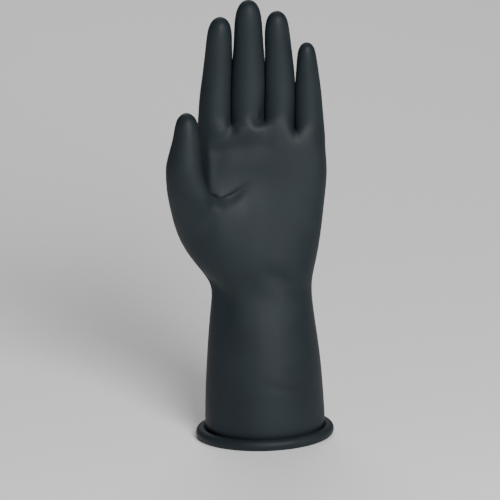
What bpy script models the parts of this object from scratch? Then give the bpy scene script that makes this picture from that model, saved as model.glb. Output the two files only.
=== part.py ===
"""Electrical insulating glove for the left hand, standing on its rolled cuff bead.

A dipped rubber glove is one seamless skin. It is modelled here as its regions: the cuff and its bead,
the palm, the stiffer lengths of each stall (the glove's finger) and the rings of rubber between them
that flex where the hand's joints are. One coarse cage with Subdivision Surface gives the whole skin,
which is cut into those regions, and Solidify gives each region the wall of the glove.

Frame: +Z from the bead to the fingertips, palm towards -Y, thumb towards -X, back of the hand towards +Y.
The origin is on the ground, under the middle of the glove's outline. Tables are in millimetres, with x
counted from the middle of the cuff.
"""
import math

import bmesh
import bpy
from mathutils import Vector

MM = 0.001
WALL = 1.0                # thickness of the rubber
GAP = 0.36                # kept between regions that meet
CUFF_X = 6.56             # the cuff's middle, from the origin: the thumb takes room on the other side
BEAD_RADIUS = 3.75        # of the rolled tube
BEAD_HALF = (39.4, 35.6)  # half width and half depth of the bead's centre line
BEAD_FLAT = 0.5           # how much of the tube is pressed flat where the glove stands on it
BEAD_POINTS = 48
SMOOTH_LEVELS = 1

COLUMNS = 20              # round the sleeve: 9 in front, 9 behind and one at each side
FRONT = 9
RING = 8                  # points round a finger
SPLINE = 0.905            # a smoothed ring of 8 points lies this far out of its cage's radius
DIAGONAL = math.sqrt(0.5)

# The sleeve from cuff to knuckles: z, left, right, front, back, squareness of the oval,
# and how far the front columns have moved from even spacing to the fingers' own spacing
SLEEVE = [
    (6.9, -37.6, 37.9, -33.8, 33.8, 2.0, 0),
    (22, -37.1, 37.8, -33.2, 33.2, 2.0, 0),
    (42, -36.0, 36.8, -31.4, 31.4, 2.0, 0),
    (62, -34.4, 35.0, -28.6, 28.4, 2.0, 0),
    (80, -32.2, 32.9, -25.0, 24.6, 2.05, 0),
    (92, -30.4, 31.9, -21.6, 21.2, 2.1, 0),
    (101, -31.6, 32.6, -20.6, 19.6, 2.15, 0),
    (112, -40.9, 35.8, -21.5, 18.0, 2.2, 0.3),
    (128, -52.2, 39.3, -20.0, 16.8, 2.25, 0.6),
    (144, -52.0, 41.4, -17.5, 15.8, 2.4, 0.9),
    (161, -42.3, 43.9, -14.6, 14.7, 2.9, 1),
    (171, -39.8, 44.6, -13.8, 14.2, 3.0, 1),
    (185, -38.2, 43.8, -13.5, 13.6, 2.8, 1),
]
# The ball of the thumb: x and z of its crown, how far it stands forward, its reach across, down and up
THUMB_BALL = (-25.0, 151.0, 9.5, 16.0, 32.0, 16.0)
# The ball's upper edge: x of its middle, how far its points and the next row of points are brought down
# to it, and its reach across
THUMB_CREST = (-17.0, 1.0, 9.0, 9.0)
THUMB_CROTCH = (-25.0, -26.0, 164.5)   # where the thumb's inner side meets its ball
# Where the front columns stand at the knuckles, as shares of the half width: two to a finger
KNUCKLES = [-0.86, -0.62, -0.36, -0.12, 0.13, 0.36, 0.575, 0.77, 0.92]

# Each finger from its root up: z, x, y, half width, half depth
FINGERS = {
    "index": [
        (206.5, -24.9, -1.2, 10.3, 9.3), (213, -24.5, -1.2, 10.3, 9.4), (222, -23.7, -1.2, 10.1, 9.1),
        (233, -22.4, -1.5, 9.4, 8.7), (246, -21.3, -2.2, 8.6, 8.4), (256, -20.7, -3.1, 8.0, 7.8),
        (263.0, -20.2, -3.9, 7.2, 7.0), (268.0, -19.9, -4.3, 5.0, 4.8)],
    "middle": [
        (207.5, -4.7, -1.2, 10.5, 9.4), (213, -4.3, -1.2, 10.8, 9.5), (223, -3.7, -1.2, 11.0, 9.3),
        (237, -3.1, -1.5, 10.5, 9.0), (252, -2.7, -2.2, 9.1, 8.6), (264.5, -2.5, -3.4, 8.8, 8.2),
        (273.0, -2.3, -4.4, 7.6, 7.2), (278.4, -2.1, -5.0, 5.2, 5.0)],
    "ring": [
        (206.5, 14.9, -0.8, 9.6, 9.0), (212, 15.3, -0.8, 9.8, 8.9), (221, 15.9, -0.9, 9.7, 8.7),
        (232, 15.9, -1.2, 9.4, 8.4), (246, 15.6, -2.0, 8.4, 8.1), (257, 15.1, -3.0, 8.0, 7.7),
        (265.6, 15.1, -4.0, 7.1, 6.7), (270.8, 15.2, -4.5, 5.0, 4.7)],
    "little": [
        (200.5, 33.2, 0.4, 9.2, 8.2), (206, 33.1, 0.2, 9.0, 8.0), (213, 33.1, 0.0, 8.7, 7.7),
        (222, 33.0, -0.5, 8.2, 7.3), (231, 33.0, -1.2, 7.3, 6.9), (240, 32.9, -2.2, 6.3, 6.2),
        (246.0, 32.9, -2.9, 5.5, 5.3), (250.2, 33.0, -3.4, 3.9, 3.8)],
}
TIPS = {"index": 272.2, "middle": 283.0, "ring": 275.2, "little": 253.8}
KNUCKLE_HEIGHTS = {"index": 201.0, "middle": 202.5, "ring": 201.0, "little": 193.5}
WEBS = [(-14.9, 202.4), (5.4, 204.4), (24.0, 196.2)]   # x and z of the skin between two fingers
WEB_DROP = (1.0, 3.0, 1.5)   # how far the front, the middle and the back of a web lie below its height
KNUCKLE_DEPTH = 1.5       # how much deeper the hand is at the knuckles than a finger's root
KNUCKLE_DROP = 3.0        # how much lower the knuckles are behind than in front
# The corners of the knuckle ring outside the index and little fingers: extra reach, and y and z in
# front, at the side and behind
INDEX_CORNER = (0.6, (-8.6, 200.0), (0.0, 199.0), (8.6, 197.5))
LITTLE_CORNER = (0.5, (-6.6, 190.0), (0.5, 190.0), (7.6, 188.0))
SIDE_REACH = 0.3          # how much further out the side column stands than a finger's side
TIP_DROP = 0.3            # how far the last point of a finger lies in front of its last ring
FINGER_CLEARANCE = 0.68   # taken off each side of a finger, so that two fingers never touch
WEB_FRONT, WEB_BACK = -9.5, 6.8

# The thumb from the ball of the hand to its tip: x, y, z, direction, half width, half depth
THUMB = [
    ((-42.0, -20.4, 159), (-0.34, -0.23, 0.91), 15.2, 9.6),
    ((-43.8, -22.4, 167), (-0.17, -0.18, 0.97), 13.3, 9.8),
    ((-44.8, -23.8, 175), (-0.06, -0.09, 0.99), 12.2, 9.6),
    ((-45.0, -24.6, 181), (0.05, -0.03, 1.0), 11.8, 9.3),
    ((-43.9, -24.8, 190), (0.12, 0.0, 1.0), 9.9, 8.6),
    ((-42.8, -24.6, 199), (0.05, 0.04, 1.0), 8.5, 7.9),
    ((-42.4, -24.0, 207.2), (0.0, 0.06, 1.0), 7.5, 7.1),
    ((-42.4, -23.6, 212.4), (0.0, 0.08, 1.0), 5.3, 5.1),
]
THUMB_TIP = (-42.4, -23.4, 217.4)
THUMB_ROOT = (8, 9, 10)         # sleeve rows between which the thumb leaves the palm
THUMB_PAD = Vector((0.88, -0.47, 0))   # the way the thumb's pad faces

# Where the rubber flexes: name, height of the hinge, half the length of the ring
WRIST = (98.0, 10.0)
FINGER_HINGES = {
    "index": [("base", 211.5, 8.0), ("mid", 233.0, 8.3), ("end", 254.0, 5.0)],
    "middle": [("base", 212.3, 8.0), ("mid", 234.5, 8.5), ("end", 259.0, 5.0)],
    "ring": [("base", 212.0, 7.7), ("mid", 232.5, 8.0), ("end", 254.0, 5.0)],
    "little": [("base", 204.9, 6.8), ("mid", 221.2, 6.9), ("end", 237.0, 4.5)],
}
FINGER_STALLS = ["lower", "middle", "tip"]
THUMB_HINGES = [
    ("base", (-44.2, -22.4, 168.0), (-0.17, -0.18, 0.969), 6.5),
    ("end", (-43.9, -24.8, 190.0), (0.08, 0.0, 1.0), 6.0),
]
THUMB_STALLS = ["lower", "tip"]
REGIONS = {"sleeve": 0, "index": 1, "middle": 2, "ring": 3, "little": 4, "thumb": 5}

RUBBER = (0.036, 0.044, 0.049, 1)
FLEX_RUBBER = (0.030, 0.037, 0.041, 1)


def place(point):
    """A table's point in the glove's frame, in metres."""
    return Vector((point[0] + CUFF_X, point[1], point[2])) * MM


def sleeve_ring(z, left, right, front, back, square, knuckles):
    """An oval round the hand: the front from left to right, the right side, the back and the left side."""
    middle, half = (left + right) / 2, (right - left) / 2
    even = [-math.cos(math.pi * (i + 1) / (FRONT + 1)) for i in range(FRONT)]
    shares = [a + (b - a) * knuckles for a, b in zip(even, KNUCKLES)]
    heights = [(1 - abs(u) ** square) ** (1 / square) for u in shares]
    side_y = (front + back) / 4
    front_row = [thumb_ball(middle + half * u, front * h, z) for u, h in zip(shares, heights)]
    back_row = [(middle + half * u, back * h, z) for u, h in zip(shares, heights)]
    return front_row + [(right, side_y, z)] + back_row[::-1] + [(left, side_y, z)]


def thumb_ball(x, y, z):
    """A point of the palm, brought forward where the muscle at the thumb's root fills the glove."""
    crown_x, crown_z, height, across, down, up = THUMB_BALL
    away = ((x - crown_x) / across) ** 2 + ((z - crown_z) / (up if z > crown_z else down)) ** 2
    return x, y - height * math.exp(-away), z


def lowered(point, drop):
    """A point near the ball's upper edge, brought down to where the ball ends in the hollow of the palm."""
    middle, _, _, across = THUMB_CREST
    x, y, z = point
    return x, y, z - drop * math.exp(-((x - middle) / across) ** 2)


def knuckle_ring():
    """The ring at the fingers' roots, and the points between front and back where two fingers part."""
    front, back = [], []
    for finger, (name, rows) in enumerate(FINGERS.items()):
        _, x, y, _, half_depth = rows[0]
        depth, z = half_depth / SPLINE + KNUCKLE_DEPTH, KNUCKLE_HEIGHTS[name]
        if finger:
            web_x, web_z = WEBS[finger - 1]
            front.append((web_x, WEB_FRONT, web_z - WEB_DROP[0]))
            back.append((web_x, WEB_BACK, web_z - WEB_DROP[2]))
        front.append((x, y - depth, z))
        back.append((x, y + depth, z - KNUCKLE_DROP))
    left, right = corner("index", -1, INDEX_CORNER), corner("little", 1, LITTLE_CORNER)
    front = [left[0]] + front + [right[0]]
    back = [left[2]] + back + [right[2]]
    webs = [(x, 0, z - WEB_DROP[1]) for x, z in WEBS]
    return front + [right[1]] + back[::-1] + [left[1]], webs


def corner(name, side, places):
    """The points beside an outer finger's root: in front, at its side and behind."""
    more, front, beside, behind = places
    _, x, _, half_width, _ = FINGERS[name][0]
    reach = half_width / SPLINE
    diagonal = x + side * (DIAGONAL * reach + more)
    outermost = x + side * (reach + more + SIDE_REACH)
    return (diagonal, *front), (outermost, *beside), (diagonal, *behind)


def finger_ring(z, x, y, half_width, half_depth):
    half_width -= FINGER_CLEARANCE
    points = []
    for i in range(RING):
        angle = math.radians(45 * i - 135)
        across = x + half_width / SPLINE * math.cos(angle)
        points.append((across, y + half_depth / SPLINE * math.sin(angle), z))
    return points


def thumb_ring(centre, direction, half_width, half_depth):
    centre, along = Vector(centre), Vector(direction).normalized()
    pad = (THUMB_PAD - along * along.dot(THUMB_PAD)).normalized()
    behind = along.cross(pad)
    points = []
    for i in range(RING):
        angle = math.radians(45 * i - 135)
        points.append(centre + pad * (half_width / SPLINE * math.cos(angle))
                      + behind * (half_depth / SPLINE * math.sin(angle)))
    return points


class Cage:
    """The coarse cage of the whole skin, with a number on each face for the part of the hand it covers."""

    def __init__(self):
        self.mesh = bmesh.new()
        self.region = self.mesh.faces.layers.int.new("region")

    def ring(self, points):
        return [self.mesh.verts.new(place(point)) for point in points]

    def face(self, corners, region):
        self.mesh.faces.new(corners)[self.region] = region

    def wall(self, low, high, region, skip=()):
        count = len(low)
        for i in range(count):
            if i not in skip:
                after = (i + 1) % count
                self.face((low[i], low[after], high[after], high[i]), region)

    def stall(self, root, rings, tip, region):
        """A finger or thumb grown from a ring of 8 points, closed by 4 faces round its tip."""
        low = root
        for points in rings:
            high = self.ring(points)
            self.wall(low, high, region)
            low = high
        top = self.ring([tip])[0]
        for i in range(0, RING, 2):
            self.face((low[i - 1], low[i], low[i + 1], top), region)


def skin_cage():
    cage = Cage()
    knuckles, webs = knuckle_ring()
    sleeve = [sleeve_ring(*row) for row in SLEEVE]
    crest, hollow = sleeve[THUMB_ROOT[1]], sleeve[THUMB_ROOT[2]]
    crest[:FRONT] = [lowered(point, THUMB_CREST[1]) for point in crest[:FRONT]]
    hollow[:FRONT] = [lowered(point, THUMB_CREST[2]) for point in hollow[:FRONT]]
    crest[1] = THUMB_CROTCH
    rings = [cage.ring(points) for points in sleeve] + [cage.ring(knuckles)]
    webs = cage.ring(webs)
    first, middle, last = THUMB_ROOT
    for level in range(len(rings) - 1):
        skip = (COLUMNS - 1, 0) if first <= level < last else ()
        cage.wall(rings[level], rings[level + 1], REGIONS["sleeve"], skip)
    top = rings[-1]
    between = [top[-1]] + webs + [top[FRONT]]
    for finger, (name, rows) in enumerate(FINGERS.items()):
        front = top[2 * finger:2 * finger + 3]
        back = top[COLUMNS - 4 - 2 * finger:COLUMNS - 1 - 2 * finger]
        root = front + [between[finger + 1]] + back + [between[finger]]
        tip = (rows[-1][1], rows[-1][2] - TIP_DROP, TIPS[name])
        cage.stall(root, [finger_ring(*row) for row in rows], tip, REGIONS[name])
    low, mid, high = rings[first], rings[middle], rings[last]
    root = [low[-1], low[0], low[1], mid[1], high[1], high[0], high[-1], mid[-1]]
    cage.stall(root, [thumb_ring(*row) for row in THUMB], THUMB_TIP, REGIONS["thumb"])
    bmesh.ops.recalc_face_normals(cage.mesh, faces=cage.mesh.faces)
    return cage.mesh


def smooth_skin():
    """The cage smoothed by Subdivision Surface, as one open sheet."""
    cage = skin_cage()
    mesh = bpy.data.meshes.new("skin_cage")
    cage.to_mesh(mesh)
    cage.free()
    guide = bpy.data.objects.new("skin_cage", mesh)
    bpy.context.scene.collection.objects.link(guide)
    smooth = guide.modifiers.new("smooth", "SUBSURF")
    smooth.levels = smooth.render_levels = SMOOTH_LEVELS
    depsgraph = bpy.context.evaluated_depsgraph_get()
    skin = bmesh.new()
    skin.from_mesh(guide.evaluated_get(depsgraph).to_mesh())
    bpy.data.objects.remove(guide)
    return skin


def ring_cuts(centre, direction, half_length):
    """The two planes that bound a flexing ring, as a point and a normal each."""
    centre, along = Vector(centre), Vector(direction).normalized()
    return [(centre - along * half_length, along), (centre + along * half_length, along)]


def region_plan():
    """For each part of the hand: its cutting planes from the root up, and the piece after each plane."""
    plan = {"sleeve": (ring_cuts((0, 0, WRIST[0]), (0, 0, 1), WRIST[1]), ["cuff", "wrist_flex", "palm"])}
    for name, hinges in FINGER_HINGES.items():
        cuts, pieces = [], ["palm"]
        for (joint, z, half_length), stall in zip(hinges, FINGER_STALLS):
            cuts += ring_cuts((0, 0, z), (0, 0, 1), half_length)
            pieces += [f"{name}_{joint}_flex", f"{name}_{stall}_stall"]
        plan[name] = (cuts, pieces)
    cuts, pieces = [], ["palm"]
    for (joint, centre, along, half_length), stall in zip(THUMB_HINGES, THUMB_STALLS):
        cuts += ring_cuts(centre, along, half_length)
        pieces += [f"thumb_{joint}_flex", f"thumb_{stall}_stall"]
    plan["thumb"] = (cuts, pieces)
    return plan


def cut_region(skin, region, cuts):
    """Cuts one region's faces a little before and after each plane, which leaves the gap as a strip."""
    layer = skin.faces.layers.int["region"]
    for centre, along in cuts:
        for side in (-1, 1):
            faces = [face for face in skin.faces if face[layer] == region]
            edges = {edge for face in faces for edge in face.edges}
            verts = {vert for face in faces for vert in face.verts}
            point = place(centre + along * (side * GAP / 2))
            bmesh.ops.bisect_plane(skin, geom=[*verts, *edges, *faces], plane_co=point, plane_no=along,
                                   dist=0.01 * MM)


def piece_at(point, cuts, pieces):
    """The piece that a point of the skin belongs to, or None in the gap between two."""
    passed = 0
    for centre, along in cuts:
        beyond = (point - place(centre)).dot(along)
        if abs(beyond) < GAP / 2 * MM:
            return None
        passed += beyond > 0
    return pieces[passed]


def skin_pieces(skin):
    """Cuts the skin by its plan and sorts its faces by the name of their piece."""
    plan = {REGIONS[name]: cuts_and_pieces for name, cuts_and_pieces in region_plan().items()}
    for region, (cuts, _) in plan.items():
        cut_region(skin, region, cuts)
    layer = skin.faces.layers.int["region"]
    sorted_faces = {}
    for face in skin.faces:
        name = piece_at(face.calc_center_median(), *plan[face[layer]])
        sorted_faces.setdefault(name, []).append(face)
    sorted_faces.pop(None, None)
    return sorted_faces


def rubber(name, colour):
    material = bpy.data.materials.new(name)
    material.use_nodes = True
    shader = material.node_tree.nodes["Principled BSDF"]
    shader.inputs["Base Color"].default_value = colour
    shader.inputs["Roughness"].default_value = 0.55
    shader.inputs["Metallic"].default_value = 0
    return material


def add_shell(name, faces, collection):
    """One region of the skin as its own object, thickened inwards to the glove's wall."""
    shell = bmesh.new()
    copies = {}
    for face in faces:
        for vert in face.verts:
            if vert not in copies:
                copies[vert] = shell.verts.new(vert.co)
        shell.faces.new([copies[vert] for vert in face.verts])
    mesh = bpy.data.meshes.new(name)
    shell.to_mesh(mesh)
    shell.free()
    mesh.shade_smooth()
    obj = bpy.data.objects.new(name, mesh)
    collection.objects.link(obj)
    mesh.materials.append(rubber(name, FLEX_RUBBER if name.endswith("flex") else RUBBER))
    wall = obj.modifiers.new("wall", "SOLIDIFY")
    wall.thickness = WALL * MM
    wall.offset = -1
    wall.use_even_offset = True
    return obj


def add_bead(collection):
    """The rolled rim: a tube round the cuff's mouth, pressed flat underneath."""
    curve = bpy.data.curves.new("cuff_bead", "CURVE")
    curve.dimensions = "3D"
    curve.bevel_depth = BEAD_RADIUS * MM
    curve.bevel_resolution = 4
    spline = curve.splines.new("POLY")
    spline.points.add(BEAD_POINTS - 1)
    spline.use_cyclic_u = True
    for i, point in enumerate(spline.points):
        angle = math.tau * i / BEAD_POINTS
        x, y = BEAD_HALF[0] * math.cos(angle), BEAD_HALF[1] * math.sin(angle)
        point.co = (*place((x, y, BEAD_RADIUS - BEAD_FLAT)), 1)
    tube = bpy.data.objects.new("bead_tube", curve)
    collection.objects.link(tube)
    depsgraph = bpy.context.evaluated_depsgraph_get()
    mesh = bpy.data.meshes.new_from_object(tube.evaluated_get(depsgraph))
    bpy.data.objects.remove(tube)
    press_flat(mesh)
    mesh.shade_smooth()
    mesh.set_sharp_from_angle(angle=math.radians(40))
    obj = bpy.data.objects.new("cuff_bead", mesh)
    collection.objects.link(obj)
    mesh.materials.clear()
    mesh.materials.append(rubber("cuff_bead", RUBBER))
    return obj


def press_flat(mesh):
    """Cuts a mesh off at the ground and closes it with a flat face."""
    shape = bmesh.new()
    shape.from_mesh(mesh)
    cut = bmesh.ops.bisect_plane(shape, geom=[*shape.verts, *shape.edges, *shape.faces], plane_co=(0, 0, 0),
                                 plane_no=(0, 0, 1), clear_inner=True, dist=0.01 * MM)
    rim = [item for item in cut["geom_cut"] if isinstance(item, bmesh.types.BMEdge)]
    bmesh.ops.bridge_loops(shape, edges=rim)
    bmesh.ops.recalc_face_normals(shape, faces=shape.faces)
    shape.to_mesh(mesh)
    shape.free()


def main():
    for old in list(bpy.data.objects):
        bpy.data.objects.remove(old)
    collection = bpy.data.collections.new("electrical_insulating_glove")
    bpy.context.scene.collection.children.link(collection)
    add_bead(collection)
    skin = smooth_skin()
    for name, faces in sorted(skin_pieces(skin).items()):
        add_shell(name, faces, collection)
    skin.free()


main()
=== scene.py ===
"""Looks of the electrical insulating glove: one smooth dipped skin of matt black rubber with a rolled rim.

The glove is a left hand's, standing on its rim, with its palm towards -Y and its thumb towards -X. Its
skin is grown from much the same coarse cage as the CAD part, smoothed finer and then given its folds, at
the palm, the webs and the wrist. It is then divided where the rubber starts to bend: the cuff and palm
pieces ride on their bodies, and the pieces that bend are left in place. Tables are in millimetres, with x
counted from the middle of the cuff.
"""
import math

import bmesh
import bpy
import numpy as np
from mathutils import Matrix, Vector, noise

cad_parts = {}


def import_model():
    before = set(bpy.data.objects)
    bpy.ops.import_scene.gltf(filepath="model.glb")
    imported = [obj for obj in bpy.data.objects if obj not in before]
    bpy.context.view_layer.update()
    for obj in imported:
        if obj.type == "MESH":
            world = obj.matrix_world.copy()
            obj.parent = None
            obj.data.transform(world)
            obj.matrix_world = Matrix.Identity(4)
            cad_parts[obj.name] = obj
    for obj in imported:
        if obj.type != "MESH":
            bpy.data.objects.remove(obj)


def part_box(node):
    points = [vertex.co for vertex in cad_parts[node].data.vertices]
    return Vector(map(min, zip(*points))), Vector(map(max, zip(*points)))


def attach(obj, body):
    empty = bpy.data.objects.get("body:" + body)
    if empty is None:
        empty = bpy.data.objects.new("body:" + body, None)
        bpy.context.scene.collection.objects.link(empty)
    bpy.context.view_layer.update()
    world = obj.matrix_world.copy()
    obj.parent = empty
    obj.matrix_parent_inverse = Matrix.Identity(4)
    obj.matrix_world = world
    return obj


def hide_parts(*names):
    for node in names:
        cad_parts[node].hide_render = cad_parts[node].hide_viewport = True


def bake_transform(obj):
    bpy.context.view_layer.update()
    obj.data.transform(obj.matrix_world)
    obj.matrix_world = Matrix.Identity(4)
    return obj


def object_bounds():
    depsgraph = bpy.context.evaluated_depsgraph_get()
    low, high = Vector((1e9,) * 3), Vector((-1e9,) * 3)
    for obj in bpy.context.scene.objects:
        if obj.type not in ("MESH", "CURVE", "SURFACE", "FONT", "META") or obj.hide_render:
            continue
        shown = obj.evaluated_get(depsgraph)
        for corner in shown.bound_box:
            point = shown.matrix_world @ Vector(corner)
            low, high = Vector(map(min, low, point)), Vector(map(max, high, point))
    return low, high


MM = 0.001
WALL = 1.0        # thickness of the rubber
SMOOTH_LEVELS = 3

COLUMNS = 20      # round the sleeve: 9 in front, 9 behind and one at each side
FRONT = 9
RING = 8          # points round a finger
RING_START = -135   # the angle of a ring's first point, at the front left
SPLINE = 0.905    # a smoothed ring of 8 points lies this far out of its cage's radius
DIAGONAL = math.sqrt(0.5)

# The sleeve from cuff to knuckles: z, left, right, front, back, squareness of the oval,
# and how far the front columns have moved from even spacing to the fingers' own spacing
SLEEVE = [
    (4.4, -35.7, 36.0, -32.0, 32.0, 2.0, 0),
    (7.6, -37.5, 37.8, -33.7, 33.7, 2.0, 0),
    (13, -37.5, 38.1, -33.6, 33.6, 2.0, 0),
    (24, -37.1, 37.8, -33.0, 33.0, 2.0, 0),
    (42, -36.0, 36.8, -31.4, 31.4, 2.0, 0),
    (62, -34.4, 35.0, -28.6, 28.4, 2.0, 0),
    (80, -32.2, 32.9, -25.0, 24.6, 2.05, 0),
    (92, -30.4, 31.9, -21.6, 21.2, 2.1, 0),
    (101, -31.6, 32.6, -20.6, 19.6, 2.15, 0),
    (112, -40.9, 35.8, -21.5, 18.0, 2.2, 0.3),
    (128, -52.2, 39.3, -20.0, 16.8, 2.25, 0.6),
    (144, -52.0, 41.4, -17.5, 15.8, 2.4, 0.9),
    (161, -42.3, 43.9, -14.6, 14.7, 2.9, 1),
    (171, -39.8, 44.6, -13.8, 14.2, 3.0, 1),
    (185, -38.2, 43.8, -13.5, 13.6, 2.8, 1),
]
SIDE_SHARE = 0.25         # y of the side columns, as a share of the front and the back together
THUMB_ROOT = (10, 11, 12)   # the sleeve's rows below, through and above the thumb's root
# The ball of the thumb: x and z of its crown, how far it stands forward, its reach across, down and up
THUMB_BALL = (-25.0, 151.0, 9.5, 16.0, 32.0, 16.0)
# The ball's upper edge: x of its middle, how far its points and the next row of points are brought down
# to it, and its reach across
THUMB_CREST = (-17.0, 1.0, 9.0, 9.0)
THUMB_CROTCH = (-25.0, -26.0, 164.5)   # where the thumb's inner side meets its ball
# Where the front columns stand at the knuckles, as shares of the half width: two to a finger
KNUCKLES = [-0.86, -0.62, -0.36, -0.12, 0.13, 0.36, 0.575, 0.77, 0.92]

# Each finger from its root up: z, x, y, half width, half depth
FINGERS = {
    "index": [
        (206.5, -24.9, -1.2, 10.3, 9.3), (213, -24.5, -1.2, 10.3, 9.4), (222, -23.7, -1.2, 10.1, 9.1),
        (233, -22.4, -1.5, 9.4, 8.7), (246, -21.3, -2.2, 8.6, 8.4), (256, -20.7, -3.1, 8.0, 7.8),
        (263.0, -20.2, -3.9, 7.2, 7.0), (268.0, -19.9, -4.3, 5.0, 4.8)],
    "middle": [
        (207.5, -4.7, -1.2, 10.5, 9.4), (213, -4.3, -1.2, 10.8, 9.5), (223, -3.7, -1.2, 11.0, 9.3),
        (237, -3.1, -1.5, 10.5, 9.0), (252, -2.7, -2.2, 9.1, 8.6), (264.5, -2.5, -3.4, 8.8, 8.2),
        (273.0, -2.3, -4.4, 7.6, 7.2), (278.4, -2.1, -5.0, 5.2, 5.0)],
    "ring": [
        (206.5, 14.9, -0.8, 9.6, 9.0), (212, 15.3, -0.8, 9.8, 8.9), (221, 15.9, -0.9, 9.7, 8.7),
        (232, 15.9, -1.2, 9.4, 8.4), (246, 15.6, -2.0, 8.4, 8.1), (257, 15.1, -3.0, 8.0, 7.7),
        (265.6, 15.1, -4.0, 7.1, 6.7), (270.8, 15.2, -4.5, 5.0, 4.7)],
    "little": [
        (200.5, 33.2, 0.4, 9.2, 8.2), (206, 33.1, 0.2, 9.0, 8.0), (213, 33.1, 0.0, 8.7, 7.7),
        (222, 33.0, -0.5, 8.2, 7.3), (231, 33.0, -1.2, 7.3, 6.9), (240, 32.9, -2.2, 6.3, 6.2),
        (246.0, 32.9, -2.9, 5.5, 5.3), (250.2, 33.0, -3.4, 3.9, 3.8)],
}
TIPS = {"index": 272.2, "middle": 283.0, "ring": 275.2, "little": 253.8}
KNUCKLE_HEIGHTS = {"index": 201.0, "middle": 202.5, "ring": 201.0, "little": 193.5}
WEBS = [(-14.9, 202.4), (5.4, 204.4), (24.0, 196.2)]   # x and z of the skin between two fingers
WEB_FRONT, WEB_BACK = -11.0, 6.8
WEB_DROP = (1.0, 3.0, 1.5)   # how far the front, the middle and the back of a web lie below its height
KNUCKLE_DEPTH = 1.5       # how much deeper the hand is at the knuckles than a finger's root
KNUCKLE_DROP = 3.0        # how much lower the knuckles are behind than in front
# The corners of the knuckle ring outside the index and little fingers: extra reach, and y and z in
# front, at the side and behind
INDEX_CORNER = (0.6, (-8.6, 200.0), (0.0, 199.0), (8.6, 197.5))
LITTLE_CORNER = (0.5, (-6.6, 190.0), (0.5, 190.0), (7.6, 188.0))
SIDE_REACH = 0.3          # how much further out the side column stands than a finger's side
TIP_DROP = 0.3            # how far the last point of a finger lies in front of its last ring

# The thumb from the ball of the hand to its tip: x, y, z, direction, half width, half depth
THUMB = [
    ((-42.0, -20.4, 159), (-0.34, -0.23, 0.91), 15.2, 9.6),
    ((-43.8, -22.4, 167), (-0.17, -0.18, 0.97), 13.3, 9.8),
    ((-44.8, -23.8, 175), (-0.06, -0.09, 0.99), 12.2, 9.6),
    ((-45.0, -24.6, 181), (0.05, -0.03, 1.0), 11.8, 9.3),
    ((-43.9, -24.8, 190), (0.12, 0.0, 1.0), 9.9, 8.6),
    ((-42.8, -24.6, 199), (0.05, 0.04, 1.0), 8.5, 7.9),
    ((-42.4, -24.0, 207.2), (0.0, 0.06, 1.0), 7.5, 7.1),
    ((-42.4, -23.6, 212.4), (0.0, 0.08, 1.0), 5.3, 5.1),
]
THUMB_TIP = (-42.4, -23.4, 217.4)
THUMB_PAD = Vector((0.88, -0.47, 0))   # the way the thumb's pad faces

REGIONS = {"sleeve": 0, "index": 1, "middle": 2, "ring": 3, "little": 4, "thumb": 5}

# Folds of the rubber on the palm side. Each point is x, z and the depth there, which is below zero where
# the rubber stands out; then the half width of the fold, how much of its depth stands up beside it as a
# lip, how far it runs upwards for each mm that it goes in, and the parts of the hand it crosses
PALM_FOLDS = {
    "thumb_ball_edge": (
        [(-28, 159.5, 0.8), (-25.5, 156.8, 2.2), (-23, 155.6, 3.2), (-20, 155.4, 3.8), (-17, 156.2, 3.8),
         (-14, 158.0, 3.0), (-11, 160.4, 2.0), (-7.5, 163.2, 1.0), (-3, 167, 0.0)], 2.3, 0.0, 0.75,
        ("sleeve", "thumb")),
    "palm_shoulder": (
        [(-29.5, 163, -0.8), (-30, 172, -1.7), (-30.3, 183, -1.7), (-31, 193, -0.9), (-31.5, 199, 0.0)],
        4.0, 0.0, 0, ("sleeve",)),
    "index_root": (
        [(-26, 191.5, 0.0), (-21, 194.5, 0.6), (-17, 197.5, 1.0), (-14.6, 200, 1.2)], 2.4, 0.25, 0,
        ("sleeve", "index")),
    "across_the_palm": (
        [(-32, 186, 0.0), (-22, 187.0, 1.1), (-8, 188.5, 1.2), (4, 190, 0.6), (12, 191, 0.0)],
        5.0, 0.3, 0, ("sleeve",)),
    "index_web": (
        [(-15.4, 203.0, 0.8), (-15.0, 206, 1.0), (-14.7, 212, 0.0)], 2.0, 0.0, 0,
        ("index", "middle", "sleeve")),
    "middle_web_cup": (
        [(6.0, 212, 0.6), (5.0, 207.5, 1.8), (3.4, 204.6, 2.4), (1.2, 203.6, 2.0), (-0.8, 205.2, 1.0),
         (-1.6, 208.2, 0.0)], 2.3, 0.15, 0, ("sleeve", "middle")),
    "little_web": (
        [(24.4, 210, 0.0), (24.1, 203, 0.8), (24.2, 198, 1.0), (24.8, 194.5, 0.6), (26.0, 190.0, 0.0)],
        1.8, 0.0, 0, ("sleeve", "ring", "little")),
    "wrist_thumb_side": (
        [(-38, 107, 1.4), (-28.5, 101, 3.6), (-23.5, 95, 3.0), (-22, 86, 1.6), (-21.5, 74, 0.0)],
        4.6, 0.0, 0, ("sleeve",)),
    "wrist_little_side": (
        [(0, 113, 0.0), (8, 108, 0.8), (16, 103, 1.1), (25, 96.5, 0.8), (31, 93, 0.4)], 4.5, 0.3, 0,
        ("sleeve",)),
    "cuff_crease": (
        [(-6, 41, 0.0), (8, 38, 0.25), (20, 35, 0.4), (30, 32.5, 0.35), (36.5, 31, 0.3)], 2.2, 0.3, 0,
        ("sleeve",)),
}
FOLD_SHARPNESS = 1.7      # of a fold's bottom: 2 is round, 1 is a sharp edge
FOLD_FRONT = (-3.0, 4.0)   # y where the folds start to show, and over how much they reach their full depth
LIP_PLACE = 2.1           # how far beside a fold its lip stands, in half widths of the fold
LIP_WIDTH = 1.1           # the lip's own half width, likewise
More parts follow.
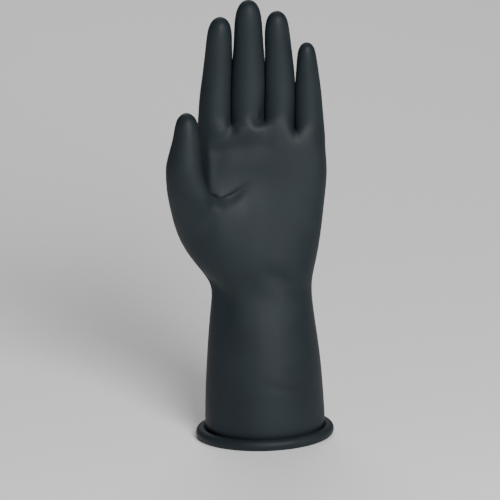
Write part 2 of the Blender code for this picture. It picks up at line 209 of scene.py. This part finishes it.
# Where two fingers lie against each other: x and z up the line between them
CONTACTS = {
    ("index", "middle"): [(-14.9, 204), (-14.7, 209), (-14.1, 223), (-13.2, 239), (-12.3, 262)],
    ("middle", "ring"): [(5.6, 205.5), (5.9, 210), (6.7, 223), (6.95, 238), (7.1, 262)],
    ("ring", "little"): [(24.1, 196.8), (24.3, 204), (24.9, 213), (25.2, 225), (26.0, 245)],
}
CONTACT_GAP = 0.1
CONTACT_LEAN = 0.14       # how far the gap leans across, per mm towards the back: it can't be seen through
CONTACT_DEPTH = -1.2      # y where the gap is on the line
CONTACT_START = (0.6, 2.4)   # above the lowest point of the line: where pressing starts, and over how much
SLACK = 0.22              # how far the thin rubber wanders in and out over the whole glove
SLACK_SCALE = 34.0
SLACK_START = (10, 12)    # z where the wandering starts, and over how much it reaches its full size

# The joints' resting rubber: where each bend starts and ends, and where one piece of skin meets the next
WRIST_PIECE = (83.0, 113.0)
FINGER_SEAMS = {
    "index": (202.2, 222.5, 245.5), "middle": (202.8, 223.2, 249.0),
    "ring": (202.6, 222.0, 245.3), "little": (196.3, 212.6, 230.5),
}
PHALANGES = ["lower", "middle", "tip"]
THUMB_BENDS = [
    ((-44.2, -22.4, 168.0), (-0.17, -0.18, 0.969), 7.5), ((-43.9, -24.8, 190.0), (0.08, 0, 1.0), 7.0)]
THUMB_SEAMS = [(0, -8.3), (1, -9.8)]   # which bend's axis, and how far below its hinge a piece ends

# The rolled rim: its centre line's half width and half depth, the tube's radius and its flat underside,
# the step where the roll's last turn ends, and how uneven the roll is
RIM_HALF = (39.3, 35.5)
RIM_RADIUS = 3.8
RIM_FLAT = 0.5
RIM_STEP = 0.35
RIM_STEP_ANGLE = math.radians(150)
RIM_UNEVEN = 0.03
RIM_UNEVEN_SCALE = 9.0
RIM_SIDES = 240
RIM_ROUND = 40
RIM_SHARP = math.radians(50)   # a turn sharper than this, at the step and the flat, shows as an edge

# The rubber: black, with a bloom over it in clouds and specks, and the runs of the dip down it. Each
# pattern has its scale, in cycles per metre, and its detail
RUBBER_DARK = (0.0080, 0.0122, 0.0152, 1)
RUBBER_BLOOM = (0.0135, 0.0198, 0.0242, 1)
CLOUDS = (38, 4)
RUNS = (150, 3)
SPECKS = (1500, 2)
NOISE_MIDDLE, NOISE_RANGE = (0.3, 0.7), (0.2, 0.8)   # where most of a pattern's values lie, and nearly all
RUN_STRETCH = (1, 1, 0.12)
CLOUD_TINT, SPECK_TINT = 0.7, 0.3   # how much of the bloom's colour each brings
RUBBER_ROUGHNESS = (0.54, 0.62)
RUN_ROUGHNESS = 0.02
RUBBER_SPECULAR = 0.20
SPECK_HEIGHT, RUN_HEIGHT = 0.25, 1
BUMP_STRENGTH = 0.35
BUMP_DISTANCE = 0.00012

FLOOR_SIZE = 12
FLOOR_COLOUR = (0.93, 0.93, 0.93, 1)
FLOOR_ROUGHNESS = 0.9
FLOOR_SPECULAR = 0.1
WORLD_STRENGTH = 0.13
# Each light: name, azimuth, elevation, distance in metres, its disk's width, and its power
LIGHTS = [
    ("key", 18, 25, 1.8, 0.8, 45),
    ("top", 0, 80, 2.4, 2.0, 1),
    ("back", 185, 45, 1.8, 1.2, 13),
]
CAMERA_SENSOR = 36
CAMERA_DISTANCE = 9.0
CAMERA_LENS = 1043.0
CAMERA_AZIMUTH = 0
CAMERA_ELEVATION = 15.5
CAMERA_ROLL = -1.8
CAMERA_AIM = (-0.0093, 0.1110)   # metres to the right of and above the rim's middle, as the camera sees it


def cuff_middle():
    """x of the cuff's middle in the frame, from the rim's box."""
    low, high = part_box("cuff_bead")
    return (low.x + high.x) / 2


def sleeve_ring(z, left, right, front, back, square, knuckles):
    """An oval round the hand: the front from left to right, the right side, the back and the left side."""
    middle, half = (left + right) / 2, (right - left) / 2
    even = [-math.cos(math.pi * (i + 1) / (FRONT + 1)) for i in range(FRONT)]
    shares = [a + (b - a) * knuckles for a, b in zip(even, KNUCKLES)]
    heights = [(1 - abs(u) ** square) ** (1 / square) for u in shares]
    side_y = SIDE_SHARE * (front + back)
    front_row = [thumb_ball(middle + half * u, front * h, z) for u, h in zip(shares, heights)]
    back_row = [(middle + half * u, back * h, z) for u, h in zip(shares, heights)]
    return front_row + [(right, side_y, z)] + back_row[::-1] + [(left, side_y, z)]


def thumb_ball(x, y, z):
    """A point of the palm, brought forward where the muscle at the thumb's root fills the glove."""
    crown_x, crown_z, height, across, down, up = THUMB_BALL
    away = ((x - crown_x) / across) ** 2 + ((z - crown_z) / (up if z > crown_z else down)) ** 2
    return x, y - height * math.exp(-away), z


def lowered(point, drop):
    """A point near the ball's upper edge, brought down to where the ball ends in the hollow of the palm."""
    middle, _, _, across = THUMB_CREST
    x, y, z = point
    return x, y, z - drop * math.exp(-((x - middle) / across) ** 2)


def knuckle_ring():
    """The ring at the fingers' roots, and the points between front and back where two fingers part."""
    front, back = [], []
    for finger, (name, rows) in enumerate(FINGERS.items()):
        _, x, y, _, half_depth = rows[0]
        depth, z = half_depth / SPLINE + KNUCKLE_DEPTH, KNUCKLE_HEIGHTS[name]
        if finger:
            web_x, web_z = WEBS[finger - 1]
            front.append((web_x, WEB_FRONT, web_z - WEB_DROP[0]))
            back.append((web_x, WEB_BACK, web_z - WEB_DROP[2]))
        front.append((x, y - depth, z))
        back.append((x, y + depth, z - KNUCKLE_DROP))
    left, right = corner("index", -1, INDEX_CORNER), corner("little", 1, LITTLE_CORNER)
    front = [left[0]] + front + [right[0]]
    back = [left[2]] + back + [right[2]]
    webs = [(x, 0, z - WEB_DROP[1]) for x, z in WEBS]
    return front + [right[1]] + back[::-1] + [left[1]], webs


def corner(name, side, places):
    """The points beside an outer finger's root: in front, at its side and behind."""
    more, front, beside, behind = places
    _, x, _, half_width, _ = FINGERS[name][0]
    reach = half_width / SPLINE
    diagonal = x + side * (DIAGONAL * reach + more)
    outermost = x + side * (reach + more + SIDE_REACH)
    return (diagonal, *front), (outermost, *beside), (diagonal, *behind)


def ring_offsets(half_width, half_depth):
    """How far each point of a finger's cage stands across and behind the ring's middle."""
    angles = [math.radians(RING_START + 360 / RING * i) for i in range(RING)]
    across, back = half_width / SPLINE, half_depth / SPLINE
    return [(across * math.cos(angle), back * math.sin(angle)) for angle in angles]


def finger_ring(z, x, y, half_width, half_depth):
    """A level ring of a finger's cage."""
    return [(x + across, y + back, z) for across, back in ring_offsets(half_width, half_depth)]


def thumb_ring(centre, direction, half_width, half_depth):
    """A ring of the thumb's cage, square to the way that the thumb points there."""
    centre, along = Vector(centre), Vector(direction).normalized()
    pad = (THUMB_PAD - along * along.dot(THUMB_PAD)).normalized()
    behind = along.cross(pad)
    return [centre + pad * across + behind * back for across, back in ring_offsets(half_width, half_depth)]


class Cage:
    """The coarse cage of the whole skin, with a number on each face for the part of the hand it covers."""

    def __init__(self):
        self.mesh = bmesh.new()
        self.region = self.mesh.faces.layers.int.new("region")

    def ring(self, points):
        return [self.mesh.verts.new(point) for point in points]

    def face(self, corners, region):
        self.mesh.faces.new(corners)[self.region] = region

    def wall(self, low, high, region, skip=()):
        count = len(low)
        for i in range(count):
            if i not in skip:
                after = (i + 1) % count
                self.face((low[i], low[after], high[after], high[i]), region)

    def stall(self, root, rings, tip, region):
        """A finger or thumb grown from a ring of 8 points, closed by 4 faces round its tip."""
        low = root
        for points in rings:
            high = self.ring(points)
            self.wall(low, high, region)
            low = high
        top = self.ring([tip])[0]
        for i in range(0, RING, 2):
            self.face((low[i - 1], low[i], low[i + 1], top), region)


def skin_cage():
    """The whole glove's cage: the sleeve, the four fingers on top of it and the thumb in its side."""
    cage = Cage()
    knuckles, webs = knuckle_ring()
    sleeve = [sleeve_ring(*row) for row in SLEEVE]
    crest, hollow = sleeve[THUMB_ROOT[1]], sleeve[THUMB_ROOT[2]]
    crest[:FRONT] = [lowered(point, THUMB_CREST[1]) for point in crest[:FRONT]]
    hollow[:FRONT] = [lowered(point, THUMB_CREST[2]) for point in hollow[:FRONT]]
    crest[1] = THUMB_CROTCH
    rings = [cage.ring(points) for points in sleeve] + [cage.ring(knuckles)]
    webs = cage.ring(webs)
    first, middle, last = THUMB_ROOT
    for level in range(len(rings) - 1):
        skip = (COLUMNS - 1, 0) if first <= level < last else ()
        cage.wall(rings[level], rings[level + 1], REGIONS["sleeve"], skip)
    top = rings[-1]
    between = [top[-1]] + webs + [top[FRONT]]
    for finger, (name, rows) in enumerate(FINGERS.items()):
        front = top[2 * finger:2 * finger + 3]
        back = top[COLUMNS - 4 - 2 * finger:COLUMNS - 1 - 2 * finger]
        root = front + [between[finger + 1]] + back + [between[finger]]
        tip = (rows[-1][1], rows[-1][2] - TIP_DROP, TIPS[name])
        cage.stall(root, [finger_ring(*row) for row in rows], tip, REGIONS[name])
    low, mid, high = rings[first], rings[middle], rings[last]
    root = [low[-1], low[0], low[1], mid[1], high[1], high[0], high[-1], mid[-1]]
    cage.stall(root, [thumb_ring(*row) for row in THUMB], THUMB_TIP, REGIONS["thumb"])
    bmesh.ops.recalc_face_normals(cage.mesh, faces=cage.mesh.faces)
    return cage.mesh


class Skin:
    """The smoothed skin as arrays: points and normals in millimetres, faces, and each face's region."""

    def __init__(self, mesh):
        self.mesh = mesh
        self.region = np.zeros(len(mesh.polygons), int)
        mesh.attributes["region"].data.foreach_get("value", self.region)
        self.faces = [tuple(face.vertices) for face in mesh.polygons]
        self.read()
        self.point_regions = self.regions_of_points()

    def read(self):
        self.points = np.zeros(len(self.mesh.vertices) * 3)
        self.mesh.vertices.foreach_get("co", self.points)
        self.points = self.points.reshape(-1, 3)
        self.normals = np.zeros(len(self.mesh.vertices) * 3)
        self.mesh.vertex_normals.foreach_get("vector", self.normals)
        self.normals = self.normals.reshape(-1, 3)

    def write(self):
        self.mesh.vertices.foreach_set("co", self.points.ravel())
        self.mesh.update()
        self.read()

    def regions_of_points(self):
        masks = np.zeros((len(REGIONS), len(self.points)), bool)
        for corners, region in zip(self.faces, self.region):
            masks[region, list(corners)] = True
        return masks


def smooth_skin():
    """The cage smoothed by Subdivision Surface, as one open sheet."""
    cage = skin_cage()
    mesh = bpy.data.meshes.new("skin_cage")
    cage.to_mesh(mesh)
    cage.free()
    guide = bpy.data.objects.new("skin_cage", mesh)
    bpy.context.scene.collection.objects.link(guide)
    smooth = guide.modifiers.new("smooth", "SUBSURF")
    smooth.levels = smooth.render_levels = SMOOTH_LEVELS
    depsgraph = bpy.context.evaluated_depsgraph_get()
    skin = bpy.data.meshes.new_from_object(guide.evaluated_get(depsgraph))
    bpy.data.objects.remove(guide)
    return Skin(skin)


def along_path(x, z, path):
    """For every point, its distance from a path of (x, z, depth) points, and the path's depth there."""
    nearest = np.full(len(x), np.inf)
    depth = np.zeros(len(x))
    for (ax, az, ad), (bx, bz, bd) in zip(path, path[1:]):
        dx, dz = bx - ax, bz - az
        share = np.clip(((x - ax) * dx + (z - az) * dz) / (dx * dx + dz * dz), 0, 1)
        away = np.hypot(x - ax - share * dx, z - az - share * dz)
        closer = away < nearest
        nearest[closer] = away[closer]
        depth[closer] = (ad + (bd - ad) * share)[closer]
    return nearest, depth


def press_folds(skin):
    """Presses the palm side's folds into the skin, each with a soft lip beside it."""
    front = np.clip((FOLD_FRONT[0] - skin.points[:, 1]) / FOLD_FRONT[1], 0, 1)
    inwards = np.zeros(len(skin.points))
    upwards = np.zeros(len(skin.points))
    x, z = skin.points[:, 0], skin.points[:, 2]
    for path, width, lip, rise, regions in PALM_FOLDS.values():
        away, depth = along_path(x, z, path)
        groove = np.exp(-(away / width) ** FOLD_SHARPNESS)
        shoulder = np.exp(-((away - LIP_PLACE * width) / (LIP_WIDTH * width)) ** 2)
        mask = np.any([skin.point_regions[REGIONS[name]] for name in regions], axis=0)
        move = mask * front * depth * (groove - lip * shoulder)
        inwards += move
        upwards += move * rise
    skin.points[:, 1] += inwards
    skin.points[:, 2] += upwards
    skin.write()


def let_slack(skin):
    """The slight unevenness of thin rubber over a hand."""
    wander = np.array([noise.noise(Vector(point) / SLACK_SCALE) for point in skin.points])
    fade = np.clip((skin.points[:, 2] - SLACK_START[0]) / SLACK_START[1], 0, 1)
    skin.points = skin.points + skin.normals * (SLACK * wander * fade)[:, None]
    skin.write()


def press_fingers(skin):
    """Flattens the fingers where they lie against each other."""
    z = skin.points[:, 2]
    lean = CONTACT_LEAN * (skin.points[:, 1] - CONTACT_DEPTH)
    for pair, line in CONTACTS.items():
        xs, heights = zip(*line)
        between = np.interp(z, heights, xs) + lean
        share = np.clip((z - heights[0] - CONTACT_START[0]) / CONTACT_START[1], 0, 1)
        for name, side in zip(pair, (1, -1)):
            over = (skin.points[:, 0] - between) * side + CONTACT_GAP / 2
            own = skin.point_regions[REGIONS[name]]
            skin.points[:, 0] -= own * side * share * np.clip(over, 0, None)
    skin.write()


def piece_of_face(centre, region):
    """The name of the piece of skin that a face belongs to."""
    z = centre[2]
    if region == "sleeve":
        low, high = WRIST_PIECE
        return "cuff_skin" if z < low else "wrist_skin" if z < high else "palm_skin"
    if region == "thumb":
        passed = 0
        for bend, below in THUMB_SEAMS:
            hinge, along, _ = THUMB_BENDS[bend]
            passed += (Vector(centre) - Vector(hinge)).dot(Vector(along).normalized()) > below
        return ["palm_skin", "thumb_lower_skin", "thumb_tip_skin"][passed]
    passed = sum(z > seam for seam in FINGER_SEAMS[region])
    return "palm_skin" if not passed else f"{region}_{PHALANGES[passed - 1]}_skin"


def skin_faces(skin):
    """The numbers of the faces of every piece."""
    names = {number: name for name, number in REGIONS.items()}
    pieces = {}
    for number, corners in enumerate(skin.faces):
        centre = skin.points[list(corners)].mean(axis=0)
        pieces.setdefault(piece_of_face(centre, names[skin.region[number]]), []).append(number)
    return pieces


def rubber_piece(name, skin, numbers, shift):
    """One piece of skin as a closed wall: the outside, the inside and the cut edges between them.

    Its normals are the whole skin's, so that two pieces meet with no line between them.
    """
    outside = [skin.faces[number] for number in numbers]
    used = sorted({corner for face in outside for corner in face})
    local = {corner: i for i, corner in enumerate(used)}
    count = len(used)
    outer = skin.points[used]
    inner = outer - skin.normals[used] * WALL
    points = (np.vstack([outer, inner]) + shift) * MM
    faces = [[local[corner] for corner in face] for face in outside]
    inside = [[corner + count for corner in reversed(face)] for face in faces]
    edges = {}
    for face in faces:
        for a, b in zip(face, face[1:] + face[:1]):
            edges[(a, b)] = True
    rim = [[b, a, a + count, b + count] for a, b in edges if (b, a) not in edges]
    mesh = bpy.data.meshes.new(name)
    mesh.from_pydata(points.tolist(), [], faces + inside + rim)
    mesh.shade_smooth()
    normals = [skin.normals[corner] for face in outside for corner in face]
    normals += [-skin.normals[corner] for face in outside for corner in reversed(face)]
    for face in mesh.polygons[2 * len(faces):]:
        normals += [face.normal] * len(face.vertices)
    mesh.normals_split_custom_set([tuple(normal) for normal in normals])
    piece = bpy.data.objects.new(name, mesh)
    bpy.context.scene.collection.objects.link(piece)
    return piece


def add_rim(shift):
    """The rolled rim: the cuff's edge rolled outwards on itself, with the step where the last turn ends."""
    verts, faces = [], []
    for i in range(RIM_SIDES):
        angle = math.tau * i / RIM_SIDES
        out = Vector((math.cos(angle), math.sin(angle), 0))
        centre = Vector((RIM_HALF[0] * out.x, RIM_HALF[1] * out.y, RIM_RADIUS - RIM_FLAT))
        uneven = 1 + RIM_UNEVEN * noise.noise(centre / RIM_UNEVEN_SCALE)
        for j in range(RIM_ROUND):
            turn = j / RIM_ROUND
            around = RIM_STEP_ANGLE + math.tau * turn
            radius = (RIM_RADIUS - RIM_STEP * turn) * uneven
            point = centre + out * (radius * math.cos(around)) + Vector((0, 0, radius * math.sin(around)))
            point.z = max(point.z, 0)
            verts.append((point + shift) * MM)
    for i in range(RIM_SIDES):
        for j in range(RIM_ROUND):
            a, b = i * RIM_ROUND, (i + 1) % RIM_SIDES * RIM_ROUND
            after = (j + 1) % RIM_ROUND
            faces.append((a + j, b + j, b + after, a + after))
    mesh = bpy.data.meshes.new("rolled_rim")
    mesh.from_pydata(verts, [], faces)
    mesh.shade_smooth()
    mesh.set_sharp_from_angle(angle=RIM_SHARP)
    rim = bpy.data.objects.new("rolled_rim", mesh)
    bpy.context.scene.collection.objects.link(rim)
    return rim


def remember_rest(piece):
    """Stores where each point is at rest, so that the rubber's pattern bends with it."""
    mesh = piece.data
    rest = mesh.attributes.new("rest", "FLOAT_VECTOR", "POINT")
    flat = np.zeros(len(mesh.vertices) * 3, np.float32)
    mesh.vertices.foreach_get("co", flat)
    rest.data.foreach_set("vector", flat)


class NodeMaker:
    """Adds nodes to a material, each linked to what it reads."""

    def __init__(self, tree):
        self.nodes, self.links = tree.nodes, tree.links

    def node(self, kind, **settings):
        made = self.nodes.new(kind)
        for name, value in settings.items():
            setattr(made, name, value)
        return made

    def noise(self, source, scale, detail):
        made = self.node("ShaderNodeTexNoise")
        made.inputs["Scale"].default_value = scale
        made.inputs["Detail"].default_value = detail
        self.links.new(source, made.inputs["Vector"])
        return made.outputs["Fac"]

    def spread(self, value, before, after):
        """The value with one range, from low to high, stretched to another."""
        made = self.node("ShaderNodeMapRange")
        for name, number in zip(("From Min", "From Max", "To Min", "To Max"), before + after):
            made.inputs[name].default_value = number
        self.links.new(value, made.inputs["Value"])
        return made.outputs["Result"]

    def add(self, a, b):
        made = self.node("ShaderNodeMath", operation="ADD")
        self.links.new(a, made.inputs[0])
        self.links.new(b, made.inputs[1])
        return made.outputs[0]

    def mix(self, share, a, b):
        made = self.node("ShaderNodeMix", data_type="RGBA")
        self.links.new(share, made.inputs["Factor"])
        made.inputs["A"].default_value = a
        made.inputs["B"].default_value = b
        return made.outputs["Result"]

    def bump(self, height):
        made = self.node("ShaderNodeBump")
        made.inputs["Strength"].default_value = BUMP_STRENGTH
        made.inputs["Distance"].default_value = BUMP_DISTANCE
        self.links.new(height, made.inputs["Height"])
        return made.outputs["Normal"]


def rubber_material():
    """Matt dipped rubber: a faint bloom in the black, the runs of the dip and a fine skin."""
    material = bpy.data.materials.new("black_rubber")
    material.use_nodes = True
    maker = NodeMaker(material.node_tree)
    shader = material.node_tree.nodes["Principled BSDF"]
    rest = maker.node("ShaderNodeAttribute", attribute_name="rest").outputs["Vector"]
    stretch = maker.node("ShaderNodeMapping")
    stretch.inputs["Scale"].default_value = RUN_STRETCH
    maker.links.new(rest, stretch.inputs["Vector"])
    clouds = maker.noise(rest, *CLOUDS)
    runs = maker.noise(stretch.outputs["Vector"], *RUNS)
    specks = maker.noise(rest, *SPECKS)
    tint = maker.add(maker.spread(clouds, NOISE_MIDDLE, (0, CLOUD_TINT)),
                     maker.spread(specks, NOISE_MIDDLE, (0, SPECK_TINT)))
    rough = maker.add(maker.spread(clouds, NOISE_MIDDLE, RUBBER_ROUGHNESS),
                      maker.spread(runs, NOISE_MIDDLE, (-RUN_ROUGHNESS, RUN_ROUGHNESS)))
    height = maker.add(maker.spread(specks, NOISE_RANGE, (0, SPECK_HEIGHT)),
                       maker.spread(runs, NOISE_RANGE, (0, RUN_HEIGHT)))
    maker.links.new(maker.mix(tint, RUBBER_DARK, RUBBER_BLOOM), shader.inputs["Base Color"])
    maker.links.new(rough, shader.inputs["Roughness"])
    maker.links.new(maker.bump(height), shader.inputs["Normal"])
    shader.inputs["Specular IOR Level"].default_value = RUBBER_SPECULAR
    return material


def finish_piece(piece, material, nodes):
    """Gives a piece its rubber and its resting points, and hides the CAD nodes that it stands for."""
    piece.data.materials.append(material)
    remember_rest(piece)
    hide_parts(*nodes)


def dress_sleeve(pieces, material):
    """Ties the cuff and the palm to their bodies and leaves the wrist in place; each hides the CAD nodes it
    stands for.
    """
    finish_piece(pieces["cuff_skin"], material, ["cuff"])
    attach(pieces["cuff_skin"], "cuff")
    finish_piece(pieces["palm_skin"], material, ["palm"])
    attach(pieces["palm_skin"], "hand")
    finish_piece(pieces["wrist_skin"], material, ["wrist_flex"])
    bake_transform(pieces["wrist_skin"])


def dress_fingers(pieces, material):
    """Gives each length of the fingers, which bends between two bodies, its rubber and leaves it in place,
    tied to no body.
    """
    for region in FINGERS:
        for number, (phalanx, joint) in enumerate(zip(PHALANGES, ("base", "mid", "end"))):
            piece, body = pieces[f"{region}_{phalanx}_skin"], f"{region}_{phalanx}"
            finish_piece(piece, material, [f"{region}_{joint}_flex", f"{region}_{phalanx}_stall"])
            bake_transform(piece)


def dress_thumb(pieces, material):
    """Gives both lengths of the thumb, each bending between two bodies, their rubber and leaves them in
    place, tied to no body.
    """
    for number, (phalanx, joint) in enumerate((("lower", "base"), ("tip", "end"))):
        piece, body = pieces[f"thumb_{phalanx}_skin"], f"thumb_{phalanx}"
        finish_piece(piece, material, [f"thumb_{joint}_flex", f"thumb_{phalanx}_stall"])
        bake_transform(piece)


def add_floor():
    """A pale floor, wide enough to fill the view from every side."""
    bpy.ops.mesh.primitive_plane_add(size=FLOOR_SIZE, location=(0, 0, 0))
    floor = bpy.context.object
    floor.name = "floor"
    material = bpy.data.materials.new("pale_floor")
    material.use_nodes = True
    shader = material.node_tree.nodes["Principled BSDF"]
    shader.inputs["Base Color"].default_value = FLOOR_COLOUR
    shader.inputs["Roughness"].default_value = FLOOR_ROUGHNESS
    shader.inputs["Specular IOR Level"].default_value = FLOOR_SPECULAR
    floor.data.materials.append(material)


def add_area_light(name, azimuth, elevation, distance, size, power, target):
    """A soft round light that faces the target."""
    light = bpy.data.lights.new(name, "AREA")
    light.shape = "DISK"
    light.size = size
    light.energy = power
    lamp = bpy.data.objects.new(name, light)
    lamp.location = target + direction_to(azimuth, elevation) * distance
    lamp.rotation_euler = (target - lamp.location).to_track_quat("-Z", "Y").to_euler()
    bpy.context.scene.collection.objects.link(lamp)


def direction_to(azimuth, elevation):
    """The way to the viewer: azimuth 0 is in front of the palm and grows towards +X."""
    turn, lift = math.radians(azimuth), math.radians(elevation)
    return Vector((math.sin(turn) * math.cos(lift), -math.cos(turn) * math.cos(lift), math.sin(lift)))


def add_world():
    """The studio's even light from all round."""
    world = bpy.data.worlds.new("studio")
    world.use_nodes = True
    sky = world.node_tree.nodes["Background"]
    sky.inputs["Color"].default_value = (1, 1, 1, 1)
    sky.inputs["Strength"].default_value = WORLD_STRENGTH
    bpy.context.scene.world = world


def add_camera(rim):
    """Looks down at the palm from in front, tipped a little, so that the glove leans to the left."""
    camera = bpy.data.cameras.new("camera")
    camera.sensor_width = CAMERA_SENSOR
    camera.lens = CAMERA_LENS
    seat = bpy.data.objects.new("camera", camera)
    away = direction_to(CAMERA_AZIMUTH, CAMERA_ELEVATION)
    level = (-away).to_track_quat("-Z", "Y")
    turn = level @ Matrix.Rotation(math.radians(CAMERA_ROLL), 3, "Z").to_quaternion()
    right, up = turn @ Vector((1, 0, 0)), turn @ Vector((0, 1, 0))
    aim = rim + right * CAMERA_AIM[0] + up * CAMERA_AIM[1]
    seat.location = aim + away * CAMERA_DISTANCE
    seat.rotation_euler = turn.to_euler()
    bpy.context.scene.collection.objects.link(seat)
    bpy.context.scene.camera = seat


def main():
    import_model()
    cad_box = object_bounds()
    shift = Vector((cuff_middle() / MM, 0, 0))
    skin = smooth_skin()
    press_folds(skin)
    let_slack(skin)
    press_fingers(skin)
    pieces = {name: rubber_piece(name, skin, numbers, np.array(shift))
              for name, numbers in sorted(skin_faces(skin).items())}
    material = rubber_material()
    dress_sleeve(pieces, material)
    dress_fingers(pieces, material)
    dress_thumb(pieces, material)
    rim = add_rim(shift)
    finish_piece(rim, material, ["cuff_bead"])
    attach(rim, "cuff")
    add_floor()
    add_world()
    middle = Vector((0, 0, (cad_box[0].z + cad_box[1].z) / 2))
    for light in LIGHTS:
        add_area_light(*light, middle)
    add_camera(Vector((shift.x * MM, 0, RIM_RADIUS * MM)))


main()
